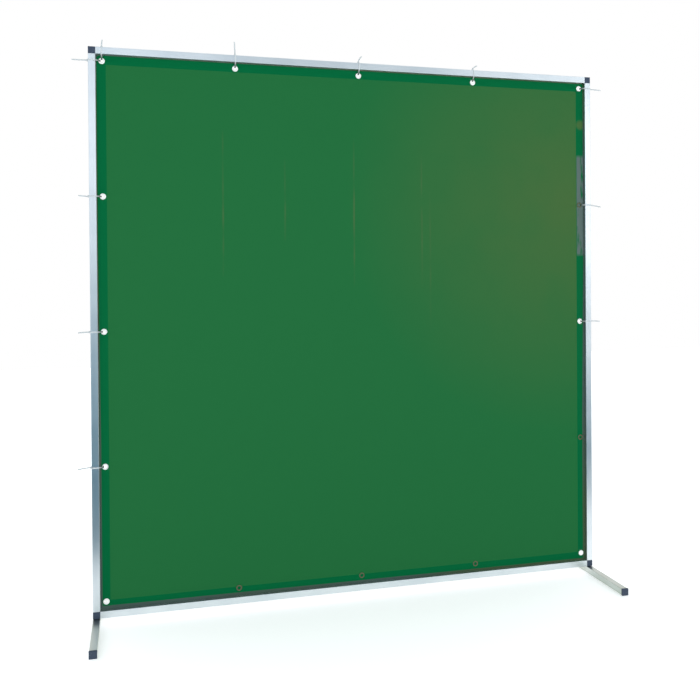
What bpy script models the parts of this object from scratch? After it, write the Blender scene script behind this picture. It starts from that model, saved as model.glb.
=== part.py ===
"""Welding curtain screen: a free-standing aluminium tube frame with a tied-in PVC curtain.

Units are metres. +Z is up, the front of the screen looks along -Y, and the frame's middle
plane is y = 0. The origin is on the floor below the middle of the frame.
"""

import math

import bmesh
import bpy
from mathutils import Matrix, Vector

# Clearances
FIT_GAP = 0.0003          # between pieces that touch
ARM_SLACK = 0.0003        # between a joint's arm or a cap's plug and the tube it fills

# Square aluminium tube, the same for posts, rails and feet
TUBE_SIDE = 0.025
TUBE_WALL = 0.0015
TUBE_CORNER_RADIUS = 0.001
TUBE_CORNER_STEPS = 3

# Frame
FRAME_WIDTH = 2.000
FRAME_HEIGHT = 2.045

# Moulded corner joints
JOINT_EDGE_RADIUS = 0.0012
ARM_LENGTH = 0.045
ARM_RIBS = 4
ARM_RIB_SHARE = 0.45      # share of the arm's length that its raised ribs take
ARM_GROOVE_DEPTH = 0.0009
BOSS_RADIUS = 0.010       # round seat under a bottom joint, where the foot turns
BOSS_HEIGHT = 0.0015
BOSS_ROOT = 0.0024        # how deep the boss is rooted in the joint's block

# Feet
FOOT_LENGTH = 0.540       # over its two caps
CAP_HEAD_LENGTH = 0.008
CAP_LIP = 0.001           # how far a cap's head stands proud of the tube
CAP_EDGE_RADIUS = 0.0012
PLUG_LENGTH = 0.022
PLUG_RIBS = 2

# Foot fastening: an M6 socket screw from inside the foot into a threaded insert
SCREW_RADIUS = 0.003
SCREW_LENGTH = 0.016
SCREW_HEAD_RADIUS = 0.005
SCREW_HEAD_HEIGHT = 0.006
SOCKET_RADIUS = 0.0029    # across the corners of the hexagon socket, halved
SOCKET_DEPTH = 0.003
SCREW_CLEARANCE = 0.0003  # radial, in every hole the shank runs through
WASHER_RADIUS = 0.00625
WASHER_THICKNESS = 0.0016
INSERT_RADIUS = 0.0045
INSERT_LENGTH = 0.012
ACCESS_HOLE_RADIUS = 0.0075
HOLE_END_ROOM = 0.003     # beyond the screw's end, in the joint
CUT_MARGIN = 0.001        # how far a cutter runs past the face it opens
ROUND_STEPS = 24

# Curtain
CURTAIN_THICKNESS = 0.0006
CURTAIN_GAP = 0.0008      # between the curtain's edge and the tubes round it
EYELET_SIDE_INSET = 0.0207    # eyelet centre to the curtain's edge
EYELET_TOP_INSET = 0.0217
EYELET_BOTTOM_INSET = 0.0297
EYELETS_PER_SIDE = 5

# Eyelets
EYELET_HOLE_RADIUS = 0.006
EYELET_RADIUS = 0.0120
EYELET_BARREL_WALL = 0.0006
EYELET_FRONT_HEIGHT = 0.0013
EYELET_REAR_HEIGHT = 0.0009
EYELET_STEPS = 16

# Nylon ties
TIE_WIDTH = 0.0048
TIE_THICKNESS = 0.0012
TIE_BEND_RADIUS = 0.0020      # of the strap's centreline where it turns into the head
TIE_HEAD_HEIGHT = 0.0050
TIE_HEAD_WIDTH = 0.0076
TIE_HEAD_LENGTH = 0.0070
TIE_HEAD_LIFT = 0.0001        # keeps the head's base off the strap's inner face
TIE_ARC_STEP = math.radians(40)
TIE_TAIL_STEPS = 3
TIE_TIP_SHARE = 0.45          # width of the tail's tip, as a share of the strap's
TIE_START_OVERLAP = 0.0016     # of the strap's first end past the middle of its head
TIE_BEND_STEPS = 2
RIM_CLEARANCE = 0.0006        # between the strap and the eyelet's bore
RIM_TURN_SHARE = 0.8          # radius of the strap's turn there, as a share of the flange

# Where each tie goes: the eyelet's column and row (0 is left or bottom), the tube that it
# goes round, how far the tail's tip stands off that tube's outer face, where the head sits,
# and how far the tail leans along the tube.
TIES = (
    ("left_1", (0, 4), "left", 0.057, 0.000),
    ("left_2", (0, 3), "left", 0.038, 0.002),
    ("left_3", (0, 2), "left", 0.043, -0.002),
    ("left_4", (0, 1), "left", 0.050, -0.005),
    ("top_1", (0, 4), "top", 0.030, 0.002),
    ("top_2", (1, 4), "top", 0.053, -0.002),
    ("top_3", (2, 4), "top", 0.030, 0.014),
    ("top_4", (3, 4), "top", 0.022, 0.020),
    ("right_1", (4, 4), "right", 0.057, 0.002),
    ("right_2", (4, 3), "right", 0.055, 0.007),
    ("right_3", (4, 2), "right", 0.048, 0.002),
)

# Derived places
HALF_TUBE = TUBE_SIDE / 2
POST_X = FRAME_WIDTH / 2 - HALF_TUBE
FOOT_BOTTOM = CAP_LIP
FOOT_TOP = FOOT_BOTTOM + TUBE_SIDE
BOSS_BOTTOM = FOOT_TOP + FIT_GAP
FRAME_BOTTOM = BOSS_BOTTOM + BOSS_HEIGHT
FRAME_TOP = FRAME_BOTTOM + FRAME_HEIGHT
CURTAIN_EDGE_X = FRAME_WIDTH / 2 - TUBE_SIDE - CURTAIN_GAP
CURTAIN_BOTTOM = FRAME_BOTTOM + TUBE_SIDE + CURTAIN_GAP
CURTAIN_TOP = FRAME_TOP - TUBE_SIDE - CURTAIN_GAP
WASHER_TOP = FOOT_TOP - TUBE_WALL - FIT_GAP
WASHER_BOTTOM = WASHER_TOP - WASHER_THICKNESS
SCREW_SEAT = WASHER_BOTTOM - FIT_GAP
SCREW_END = SCREW_SEAT + SCREW_LENGTH
INSERT_TOP = BOSS_BOTTOM + INSERT_LENGTH
SHANK_HOLE_RADIUS = SCREW_RADIUS + SCREW_CLEARANCE
TUBE_BORE = TUBE_SIDE - 2 * TUBE_WALL
ARM_SIDE = TUBE_BORE - 2 * ARM_SLACK
SIDES = {
    "left": Vector((-1, 0, 0)),
    "right": Vector((1, 0, 0)),
    "top": Vector((0, 0, 1)),
}


# ---------------------------------------------------------------- scene and materials

def clear_scene():
    for obj in list(bpy.data.objects):
        bpy.data.objects.remove(obj, do_unlink=True)


def finish(name, colour, roughness, metallic=0.0, alpha=1.0):
    mat = bpy.data.materials.new(name)
    mat.use_nodes = True
    shader = mat.node_tree.nodes["Principled BSDF"]
    shader.inputs["Base Color"].default_value = (*colour, 1.0)
    shader.inputs["Roughness"].default_value = roughness
    shader.inputs["Metallic"].default_value = metallic
    shader.inputs["Alpha"].default_value = alpha
    return mat


def make_finishes():
    return {
        "anodised_aluminium": finish("anodised_aluminium", (0.62, 0.68, 0.71), 0.38, 1.0),
        "joint_plastic": finish("joint_plastic", (0.045, 0.062, 0.095), 0.5),
        "curtain_pvc": finish("curtain_pvc", (0.018, 0.16, 0.048), 0.35),
        "eyelet_nickel": finish("eyelet_nickel", (0.86, 0.86, 0.83), 0.22, 1.0),
        "tie_nylon": finish("tie_nylon", (0.78, 0.80, 0.78), 0.45),
        "zinc_steel": finish("zinc_steel", (0.6, 0.6, 0.58), 0.35, 1.0),
        "insert_brass": finish("insert_brass", (0.72, 0.55, 0.25), 0.35, 1.0),
    }


def group(name, place=(0, 0, 0)):
    empty = bpy.data.objects.new(name, None)
    empty.location = place
    bpy.context.collection.objects.link(empty)
    return empty


def piece(name, bm, mat, parent, smooth=False):
    """Puts a bmesh into the scene as one named object."""
    bmesh.ops.recalc_face_normals(bm, faces=bm.faces)
    mesh = bpy.data.meshes.new(name)
    bm.to_mesh(mesh)
    bm.free()
    mesh.materials.append(mat)
    if smooth:
        mesh.shade_smooth()
        mesh.set_sharp_from_angle(angle=math.radians(35))
    obj = bpy.data.objects.new(name, mesh)
    bpy.context.collection.objects.link(obj)
    obj.parent = parent
    if parent:
        obj.matrix_parent_inverse = Matrix.Translation(-parent.location)
    return obj


def cutter(name, bm, mat, parent):
    obj = piece(name, bm, mat, parent)
    obj.hide_render = True
    obj.display_type = "WIRE"
    return obj


def boolean(obj, tool, operation):
    mod = obj.modifiers.new(tool.name, "BOOLEAN")
    mod.operation = operation
    mod.solver = "EXACT"
    mod.object = tool


# ---------------------------------------------------------------- shapes

def rounded_square(side, radius, steps):
    """Corner points of a square with round corners, anticlockwise."""
    reach = side / 2 - radius
    points = []
    for quarter in range(4):
        middle = math.radians(45 + 90 * quarter)
        cx = math.copysign(reach, math.cos(middle))
        cy = math.copysign(reach, math.sin(middle))
        for k in range(steps + 1):
            a = math.radians(90 * quarter + 90 * k / steps)
            points.append((cx + radius * math.cos(a), cy + radius * math.sin(a)))
    return points


def rings_to_bmesh(rings, closed):
    """Skins equal rings of points; closed joins the last ring to the first, else caps both."""
    bm = bmesh.new()
    loops = [[bm.verts.new(p) for p in ring] for ring in rings]
    pairs = list(zip(loops, loops[1:]))
    if closed:
        pairs.append((loops[-1], loops[0]))
    for a, b in pairs:
        n = len(a)
        for i in range(n):
            j = (i + 1) % n
            bm.faces.new((a[i], a[j], b[j], b[i]))
    if not closed:
        bm.faces.new(reversed(loops[0]))
        bm.faces.new(loops[-1])
    return bm


def square_tube(length):
    """A square tube along Z, centred, with an outer corner radius."""
    outer = rounded_square(TUBE_SIDE, TUBE_CORNER_RADIUS, TUBE_CORNER_STEPS)
    inner_radius = TUBE_CORNER_RADIUS / 2
    inner = rounded_square(TUBE_BORE, inner_radius, TUBE_CORNER_STEPS)
    half = length / 2
    rings = [
        [(x, y, -half) for x, y in outer],
        [(x, y, half) for x, y in outer],
        [(x, y, half) for x, y in inner],
        [(x, y, -half) for x, y in inner],
    ]
    return rings_to_bmesh(rings, closed=True)


def turned(profile, steps):
    """A closed (radius, z) profile that stays off the axis, turned about Z."""
    rings = []
    for k in range(steps):
        a = 2 * math.pi * k / steps
        rings.append([(r * math.cos(a), r * math.sin(a), z) for r, z in profile])
    return rings_to_bmesh(rings, closed=True)


def disc(radius, low, high, steps=ROUND_STEPS):
    """A solid cylinder about Z from low to high."""
    ring = []
    for k in range(steps):
        a = 2 * math.pi * k / steps
        ring.append((radius * math.cos(a), radius * math.sin(a)))
    rings = [[(x, y, z) for x, y in ring] for z in (low, high)]
    return rings_to_bmesh(rings, closed=False)


def bevelled_block(size, radius, steps=3):
    bm = bmesh.new()
    bmesh.ops.create_cube(bm, size=1.0)
    bmesh.ops.scale(bm, vec=size, verts=bm.verts)
    edges = list(bm.edges)
    bmesh.ops.bevel(bm, geom=edges, offset=radius, segments=steps, affect="EDGES", profile=0.5)
    return bm


def face_towards(bm, direction):
    """The largest of the faces that look most squarely that way."""
    direction = Vector(direction)
    bm.normal_update()
    return max(bm.faces, key=lambda f: (round(f.normal.dot(direction), 4), f.calc_area()))


def extrude_to(bm, face, distance, factor):
    """Extrudes one face along its normal, resizes the new end face and returns it."""
    normal = face.normal.copy()
    made = bmesh.ops.extrude_discrete_faces(bm, faces=[face])
    end = made["faces"][0]
    centre = end.calc_center_median()
    for vert in end.verts:
        vert.co = centre + (vert.co - centre) * factor + normal * distance
    bm.normal_update()
    return end


def grow_ribbed_arm(bm, direction, length, ribs):
    """Grows a push-fit arm with raised ribs out of one side of a block."""
    groove_side = ARM_SIDE - 2 * ARM_GROOVE_DEPTH
    ramp = ARM_GROOVE_DEPTH
    pitch = length / ribs
    face = face_towards(bm, direction)
    root_side = math.sqrt(face.calc_area())
    margin = (root_side - groove_side) / 2
    bmesh.ops.inset_individual(bm, faces=[face], thickness=margin, use_even_offset=True)
    stations = [(0.0, groove_side)]
    for k in range(1, ribs + 1):
        rib_start = k * pitch - pitch * ARM_RIB_SHARE
        stations.append((rib_start - ramp, groove_side))
        stations.append((rib_start, ARM_SIDE))
        stations.append((k * pitch - ramp, ARM_SIDE))
        stations.append((k * pitch, groove_side))
    for (z0, side0), (z1, side1) in zip(stations, stations[1:]):
        face = extrude_to(bm, face, z1 - z0, side1 / side0)


# ---------------------------------------------------------------- frame

def post_or_rail(name, length, place, along_x, mats, parent):
    obj = piece(name, square_tube(length), mats["anodised_aluminium"], parent, smooth=True)
    obj.location = place
    if along_x:
        obj.rotation_euler = (0, math.radians(90), 0)
    return obj


def make_frame(mats, parent):
    """Two posts and two rails, each cut to leave a corner joint's block at both ends."""
    post_length = FRAME_HEIGHT - 2 * (TUBE_SIDE + FIT_GAP)
    rail_length = FRAME_WIDTH - 2 * (TUBE_SIDE + FIT_GAP)
    mid_z = (FRAME_BOTTOM + FRAME_TOP) / 2
    post_or_rail("left_post", post_length, (-POST_X, 0, mid_z), False, mats, parent)
    post_or_rail("right_post", post_length, (POST_X, 0, mid_z), False, mats, parent)
    top_z = FRAME_TOP - HALF_TUBE
    bottom_z = FRAME_BOTTOM + HALF_TUBE
    post_or_rail("top_rail", rail_length, (0, 0, top_z), True, mats, parent)
    post_or_rail("bottom_rail", rail_length, (0, 0, bottom_z), True, mats, parent)


def corner_block(side, level):
    """The moulded block with one arm into its post and one into its rail."""
    block = (TUBE_SIDE, TUBE_SIDE, TUBE_SIDE)
    bm = bevelled_block(block, JOINT_EDGE_RADIUS)
    grow_ribbed_arm(bm, (0, 0, -level), ARM_LENGTH, ARM_RIBS)
    grow_ribbed_arm(bm, (-side, 0, 0), ARM_LENGTH, ARM_RIBS)
    return bm


def add_foot_seat(joint, name, x, mats, parent):
    """The round boss that the foot turns against, and the hole for the threaded insert."""
    boss = cutter(
        name + "_boss",
        disc(BOSS_RADIUS, BOSS_BOTTOM, FRAME_BOTTOM + BOSS_ROOT),
        mats["joint_plastic"],
        parent,
    )
    hole_top = max(SCREW_END, INSERT_TOP) + HOLE_END_ROOM
    hole = cutter(
        name + "_insert_hole",
        disc(INSERT_RADIUS + FIT_GAP, BOSS_BOTTOM - CUT_MARGIN, hole_top),
        mats["joint_plastic"],
        parent,
    )
    for tool in (boss, hole):
        tool.location.x = x
    boolean(joint, boss, "UNION")
    boolean(joint, hole, "DIFFERENCE")


def make_corner_joints(mats, parent):
    for side_name, side in (("left", -1), ("right", 1)):
        for level_name, level in (("top", 1), ("bottom", -1)):
            name = f"{level_name}_{side_name}_joint"
            joint = piece(name, corner_block(side, level), mats["joint_plastic"], parent)
            z = FRAME_TOP - HALF_TUBE if level > 0 else FRAME_BOTTOM + HALF_TUBE
            joint.location = (side * POST_X, 0, z)
            if level < 0:
                add_foot_seat(joint, name, side * POST_X, mats, parent)


# ---------------------------------------------------------------- feet

def make_foot_tube(name, x, mats, parent):
    length = FOOT_LENGTH - 2 * (CAP_HEAD_LENGTH + FIT_GAP)
    tube = piece(name, square_tube(length), mats["anodised_aluminium"], parent, smooth=True)
    tube.rotation_euler = (math.radians(90), 0, 0)
    tube.location = (x, 0, (FOOT_BOTTOM + FOOT_TOP) / 2)
    upper_wall = (FOOT_TOP - TUBE_WALL - CUT_MARGIN, FOOT_TOP + CUT_MARGIN)
    lower_wall = (FOOT_BOTTOM - CUT_MARGIN, FOOT_BOTTOM + TUBE_WALL + CUT_MARGIN)
    screw_hole = disc(SHANK_HOLE_RADIUS, *upper_wall)
    access_hole = disc(ACCESS_HOLE_RADIUS, *lower_wall)
    for label, hole in (("screw_hole", screw_hole), ("access_hole", access_hole)):
        tool = cutter(f"{name}_{label}", hole, mats["anodised_aluminium"], parent)
        tool.location.x = x
        boolean(tube, tool, "DIFFERENCE")


def make_foot_cap(name, x, end, mats, parent):
    """A push-in cap whose head stands proud of the tube, so the screen rests on it."""
    head_side = TUBE_SIDE + 2 * CAP_LIP
    bm = bevelled_block((head_side, CAP_HEAD_LENGTH, head_side), CAP_EDGE_RADIUS)
    grow_ribbed_arm(bm, (0, -end, 0), PLUG_LENGTH, PLUG_RIBS)
    cap = piece(name, bm, mats["joint_plastic"], parent)
    y = end * (FOOT_LENGTH - CAP_HEAD_LENGTH) / 2
    cap.location = (x, y, (FOOT_BOTTOM + FOOT_TOP) / 2)


def make_feet(mats):
    for side_name, side in (("left", -1), ("right", 1)):
        x = side * POST_X
        pivot = group(f"{side_name}_foot_pivot", (x, 0, FOOT_TOP))
        make_foot_tube(f"{side_name}_foot_tube", x, mats, pivot)
        for end_name, end in (("front", -1), ("rear", 1)):
            make_foot_cap(f"{side_name}_{end_name}_foot_cap", x, end, mats, pivot)


def sleeve(inner, outer, low, high):
    """A plain round sleeve or washer about Z."""
    return turned([(inner, low), (outer, low), (outer, high), (inner, high)], ROUND_STEPS)


def screw_mesh(head_bottom):
    outline = (
        (SCREW_HEAD_RADIUS, head_bottom),
        (SCREW_HEAD_RADIUS, SCREW_SEAT),
        (SCREW_RADIUS, SCREW_SEAT),
        (SCREW_RADIUS, SCREW_END),
    )
    rings = []
    for radius, z in outline:
        angles = [2 * math.pi * k / ROUND_STEPS for k in range(ROUND_STEPS)]
        rings.append([(radius * math.cos(a), radius * math.sin(a), z) for a in angles])
    return rings_to_bmesh(rings, closed=False)


def make_foot_fastening(side_name, x, mats, parent):
    """Screw and washer inside the foot, and the insert that they hold to in the joint."""
    head_bottom = SCREW_SEAT - SCREW_HEAD_HEIGHT
    screw = piece(f"{side_name}_foot_screw", screw_mesh(head_bottom), mats["zinc_steel"], parent)
    socket = cutter(
        f"{side_name}_screw_socket",
        disc(SOCKET_RADIUS, head_bottom - CUT_MARGIN, head_bottom + SOCKET_DEPTH, steps=6),
        mats["zinc_steel"],
        parent,
    )
    boolean(screw, socket, "DIFFERENCE")
    ring = sleeve(SHANK_HOLE_RADIUS, WASHER_RADIUS, WASHER_BOTTOM, WASHER_TOP)
    washer = piece(f"{side_name}_foot_washer", ring, mats["zinc_steel"], parent)
    threaded = sleeve(SHANK_HOLE_RADIUS, INSERT_RADIUS, BOSS_BOTTOM, INSERT_TOP)
    insert = piece(f"{side_name}_foot_insert", threaded, mats["insert_brass"], parent)
    for obj in (screw, socket, washer, insert):
        obj.location.x = x


# ---------------------------------------------------------------- curtain and eyelets

def eyelet_places():
    """Column and row of every eyelet round the edge, with its (x, z) place."""
    half_width = CURTAIN_EDGE_X - EYELET_SIDE_INSET
    low = CURTAIN_BOTTOM + EYELET_BOTTOM_INSET
    high = CURTAIN_TOP - EYELET_TOP_INSET
    last = EYELETS_PER_SIDE - 1
    places = {}
    for column in range(EYELETS_PER_SIDE):
        for row in range(EYELETS_PER_SIDE):
            if column in (0, last) or row in (0, last):
                x = -half_width + 2 * half_width * column / last
                z = low + (high - low) * row / last
                places[column, row] = (x, z)
    return places


def eyelet_name(column, row):
    last = EYELETS_PER_SIDE - 1
    if column == 0:
        return f"eyelet_left_{last - row + 1}"
    if column == last:
        return f"eyelet_right_{last - row + 1}"
    return f"eyelet_{'top' if row == last else 'bottom'}_{column + (1 if row == last else 0)}"


def make_curtain(places, mats, parent):
    """One flat sheet with a punched hole under every eyelet."""
    size = (2 * CURTAIN_EDGE_X, CURTAIN_THICKNESS, CURTAIN_TOP - CURTAIN_BOTTOM)
    bm = bmesh.new()
    bmesh.ops.create_cube(bm, size=1.0)
    bmesh.ops.scale(bm, vec=size, verts=bm.verts)
    curtain = piece("curtain_sheet", bm, mats["curtain_pvc"], parent)
    curtain.location.z = (CURTAIN_BOTTOM + CURTAIN_TOP) / 2

    punches = bmesh.new()
    hole_radius = EYELET_HOLE_RADIUS + EYELET_BARREL_WALL + FIT_GAP
    upright = Matrix.Rotation(math.radians(-90), 4, "X")
    for x, z in places.values():
        bmesh.ops.create_cone(
            punches,
            cap_ends=True,
            segments=EYELET_STEPS,
            radius1=hole_radius,
            radius2=hole_radius,
            depth=4 * CURTAIN_THICKNESS,
            matrix=Matrix.Translation((x, 0, z)) @ upright,
        )
    tool = cutter("eyelet_punches", punches, mats["curtain_pvc"], parent)
    boolean(curtain, tool, "DIFFERENCE")


def eyelet_mesh():
    """Barrel and rolled flange with a flatter ring behind, clamped round the sheet."""
    inner = EYELET_HOLE_RADIUS
    barrel = inner + EYELET_BARREL_WALL
    crown = (inner + EYELET_RADIUS) / 2 - EYELET_BARREL_WALL
    grip = CURTAIN_THICKNESS / 2 + FIT_GAP
    front = -grip - EYELET_FRONT_HEIGHT
    rear = grip + EYELET_REAR_HEIGHT
    profile = [
        (inner, (front - grip) / 2),
        (crown, front),
        (EYELET_RADIUS, -grip),
        (barrel, -grip),
        (barrel, grip),
        (EYELET_RADIUS, grip),
        (crown, rear),
        (inner, (rear + grip) / 2),
    ]
    return turned(profile, EYELET_STEPS)


def make_eyelets(places, mats, parent):
    for (column, row), (x, z) in places.items():
        name = eyelet_name(column, row)
        eyelet = piece(name, eyelet_mesh(), mats["eyelet_nickel"], parent, smooth=True)
        eyelet.rotation_euler = (math.radians(-90), 0, 0)
        eyelet.location = (x, 0, z)


# ---------------------------------------------------------------- nylon ties

def belt(circles):
    """Centreline of a tight strap, clockwise round (centre, radius) circles.

    Gives (point, outward normal) pairs, and the outward normal of the run into each circle.
    """
    runs = []
    for i, (end, end_radius) in enumerate(circles):
        start, start_radius = circles[i - 1]
        along = (end - start).normalized()
        left = Vector((-along.y, along.x))
        tilt = (start_radius - end_radius) / (end - start).length
        runs.append(along * tilt + left * math.sqrt(1 - tilt * tilt))
    line = []
    for i, (centre, radius) in enumerate(circles):
        first = math.atan2(runs[i].y, runs[i].x)
        after = runs[(i + 1) % len(runs)]
        turn = (first - math.atan2(after.y, after.x)) % (2 * math.pi)
        steps = max(1, math.ceil(turn / TIE_ARC_STEP))
        for k in range(steps + 1):
            a = first - turn * k / steps
            normal = Vector((math.cos(a), math.sin(a)))
            line.append((centre + normal * radius, normal))
    return line, runs


def tie_circles(reach):
    """What the strap goes round, from the eyelet at u = 0 to the tube at u = reach.

    u runs outwards in the curtain's plane and w runs backwards through it. The head sits on
    the tube's outer face, which is the run between the last circle and the first.
    """
    lift = FIT_GAP + TIE_THICKNESS / 2
    bend = TUBE_CORNER_RADIUS + lift
    near = reach + TUBE_CORNER_RADIUS
    far = reach + TUBE_SIDE - TUBE_CORNER_RADIUS
    half = HALF_TUBE - TUBE_CORNER_RADIUS
    rim_edge = math.sqrt(EYELET_HOLE_RADIUS ** 2 - (TIE_WIDTH / 2) ** 2)
    rim_radius = (EYELET_RADIUS - EYELET_HOLE_RADIUS) * RIM_TURN_SHARE
    strap_u = rim_edge - RIM_CLEARANCE - TIE_THICKNESS / 2
    rim = (Vector((strap_u + rim_radius, 0)), rim_radius)
    front_outer = (Vector((far, -half)), bend)
    front_inner = (Vector((near, -half)), bend)
    rear_inner = (Vector((near, half)), bend)
    rear_outer = (Vector((far, half)), bend)
    return [front_outer, front_inner, rim, rear_inner, rear_outer]


def tie_centreline(circles, stand_off, lean):
    """Strap stations (point, normal, lean, width share), and the head's place and normal."""
    loop, runs = belt(circles)
    normal = runs[0]
    along = Vector((normal.y, -normal.x))
    (last, last_radius), (first, first_radius) = circles[-1], circles[0]
    seat = (last + normal * last_radius + first + normal * first_radius) / 2
    stations = [(seat + along * TIE_START_OVERLAP, normal, 0.0, 1.0)]
    stations += [(point, n, 0.0, 1.0) for point, n in loop]
    centre = seat - along * TIE_BEND_RADIUS + normal * TIE_BEND_RADIUS
    for k in range(TIE_BEND_STEPS + 1):
        a = math.radians(90) * k / TIE_BEND_STEPS
        offset = along * math.sin(a) - normal * math.cos(a)
        stations.append((centre + offset * TIE_BEND_RADIUS, -offset, 0.0, 1.0))
    tail_start = TIE_HEAD_HEIGHT
    tail_end = stand_off - FIT_GAP - TIE_THICKNESS / 2
    for k in range(TIE_TAIL_STEPS + 1):
        share = k / TIE_TAIL_STEPS
        point = seat + normal * (tail_start + (tail_end - tail_start) * share)
        width = TIE_TIP_SHARE if k == TIE_TAIL_STEPS else 1.0
        stations.append((point, -along, lean * share ** 1.5, width))
    return stations, seat, normal, along


def strap_mesh(stations):
    rings = []
    for point, normal, lean, share in stations:
        ring = []
        for out, across in ((1, 1), (1, -1), (-1, -1), (-1, 1)):
            p = point + normal * (out * TIE_THICKNESS / 2)
            ring.append((p.x, lean + across * share * TIE_WIDTH / 2, p.y))
        rings.append(ring)
    return rings_to_bmesh(rings, closed=False)


def head_mesh(seat, normal, along):
    size = (TIE_HEAD_HEIGHT, TIE_HEAD_WIDTH, TIE_HEAD_LENGTH)
    bm = bevelled_block(size, TIE_THICKNESS / 2, steps=1)
    rise = TIE_HEAD_LIFT - TIE_THICKNESS / 2 + TIE_HEAD_HEIGHT / 2
    middle = seat + normal * rise
    turn = Matrix(((normal.x, 0, along.x), (0, 1, 0), (normal.y, 0, along.y)))
    place = Matrix.Translation((middle.x, 0, middle.y))
    bmesh.ops.transform(bm, matrix=place @ turn.to_4x4(), verts=bm.verts)
    return bm


def tie_placing(side, place):
    """Carries (u, v, w) of one tie to the frame: outwards, along its tube, backwards."""
    outwards = SIDES[side]
    back = Vector((0, 1, 0))
    along = back.cross(outwards)
    turn = Matrix((outwards, along, back)).transposed().to_4x4()
    x, z = place
    return Matrix.Translation((x, 0, z)) @ turn


def make_ties(places, mats, parent):
    inset = {"left": EYELET_SIDE_INSET, "right": EYELET_SIDE_INSET, "top": EYELET_TOP_INSET}
    for label, cell, side, stand_off, lean in TIES:
        circles = tie_circles(inset[side] + CURTAIN_GAP)
        stations, seat, normal, along = tie_centreline(circles, stand_off, lean)
        name = f"tie_{label}"
        strap = piece(name, strap_mesh(stations), mats["tie_nylon"], parent)
        head = cutter(name + "_head", head_mesh(seat, normal, along), mats["tie_nylon"], parent)
        placing = tie_placing(side, places[cell])
        strap.matrix_world = placing
        head.matrix_world = placing
        boolean(strap, head, "UNION")


def main():
    clear_scene()
    mats = make_finishes()
    frame = group("frame")
    places = eyelet_places()
    make_frame(mats, frame)
    make_corner_joints(mats, frame)
    make_feet(mats)
    for side_name, side in (("left", -1), ("right", 1)):
        make_foot_fastening(side_name, side * POST_X, mats, frame)
    make_curtain(places, mats, frame)
    make_eyelets(places, mats, frame)
    make_ties(places, mats, frame)


main()
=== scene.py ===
# %% [markdown]
# # Welding curtain screen
#
# The real object is a square frame of thin aluminium tube, plugged together with plastic
# corner joints, standing on two cross feet. A green PVC curtain fills it. Nylon ties hold
# the curtain by its eyelets. This lesson builds each finish and each soft or small piece on
# top of a fixed model of the frame, so every place comes from that model's own boxes.

import math

import bmesh
import bpy
from mathutils import Matrix, Vector, noise


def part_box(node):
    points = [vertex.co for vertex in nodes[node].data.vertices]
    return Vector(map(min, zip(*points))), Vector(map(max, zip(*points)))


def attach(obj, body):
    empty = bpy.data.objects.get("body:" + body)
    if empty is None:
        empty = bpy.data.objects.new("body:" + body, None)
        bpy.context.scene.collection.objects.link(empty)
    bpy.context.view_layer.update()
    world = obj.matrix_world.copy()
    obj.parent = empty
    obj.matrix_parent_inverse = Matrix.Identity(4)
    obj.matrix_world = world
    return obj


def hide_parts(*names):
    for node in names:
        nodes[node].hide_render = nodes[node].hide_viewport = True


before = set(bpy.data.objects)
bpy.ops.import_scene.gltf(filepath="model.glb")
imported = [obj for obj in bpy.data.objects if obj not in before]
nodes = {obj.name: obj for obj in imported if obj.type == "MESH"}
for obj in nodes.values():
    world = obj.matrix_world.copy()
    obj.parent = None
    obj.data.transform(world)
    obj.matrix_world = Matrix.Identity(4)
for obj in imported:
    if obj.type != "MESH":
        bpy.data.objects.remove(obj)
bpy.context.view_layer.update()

# %% [markdown]
# Places are read from the model once and given names. The frame's middle plane is y = 0,
# so the curtain hangs there. An eyelet's box gives its centre, and the rails and posts give
# the opening that the curtain fills.

# %% Places
MM = 0.001


def middle(name):
    low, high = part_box(name)
    return (low + high) / 2


def named(start):
    return sorted(n for n in nodes if n.startswith(start))


tube_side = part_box("left_post")[1].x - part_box("left_post")[0].x
curtain_low, curtain_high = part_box("curtain_sheet")
eyelet_places = {n: middle(n) for n in named("eyelet_")}
print(f"tube {tube_side / MM:.1f} mm, curtain {curtain_high.x - curtain_low.x:.3f} m wide,",
      len(eyelet_places), "eyelets")

# %% [markdown]
# ## Camera
#
# The camera stands left of the middle at chest height, turned a little to the right and
# almost level, so the posts stay upright in the picture. The lens is shifted down instead
# of the camera being tilted, which is how furniture and tall stands are usually taken.

# %% Camera
CAMERA_PLACE = (-0.8379, -3.0521, 1.2390)
CAMERA_TURN = (math.radians(14.667), math.radians(-0.375), math.radians(-0.402))
CAMERA_LENS = 41.87
CAMERA_SHIFT = -0.0943

scene = bpy.context.scene
camera_data = bpy.data.cameras.new("camera")
camera_data.sensor_width = 36.0
camera_data.lens = CAMERA_LENS
camera_data.shift_y = CAMERA_SHIFT
camera = bpy.data.objects.new("camera", camera_data)
scene.collection.objects.link(camera)
scene.camera = camera

yaw, pitch, roll = CAMERA_TURN
level = Matrix.Rotation(math.radians(90) + pitch, 4, "X")
turned = Matrix.Rotation(-yaw, 4, "Z") @ level @ Matrix.Rotation(roll, 4, "Z")
camera.matrix_world = Matrix.Translation(CAMERA_PLACE) @ turned
scene.view_settings.view_transform = "Standard"
print("camera looks along", [round(v, 3) for v in turned.to_3x3() @ Vector((0, 0, -1))])

# %% [markdown]
# ## Studio
#
# Metal shows what surrounds it more than its own colour, so the studio is part of its look.
# The sky is white behind the screen and pale grey in front of it, which is where the front
# faces of the tubes look. Large soft panels light the curtain evenly. The floor glows
# slightly a few metres out, so that it stays white there, and takes real shadows close by.

# %% Floor and sky
FLOOR_REACH = 9.0
FLOOR_SHADE = 0.93
# The floor's own glow grows from near to far between these distances from the middle.
GLOW_DISTANCES = (1.3, 3.2)
GLOW_STRENGTHS = (0.42, 0.6)
SKY_IN_FRONT = (0.64, 0.71, 0.75)
# Where the sky turns from its front colour to white, from 0 in front to 1 behind.
SKY_TURNS = (0.40, 0.60)

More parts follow.
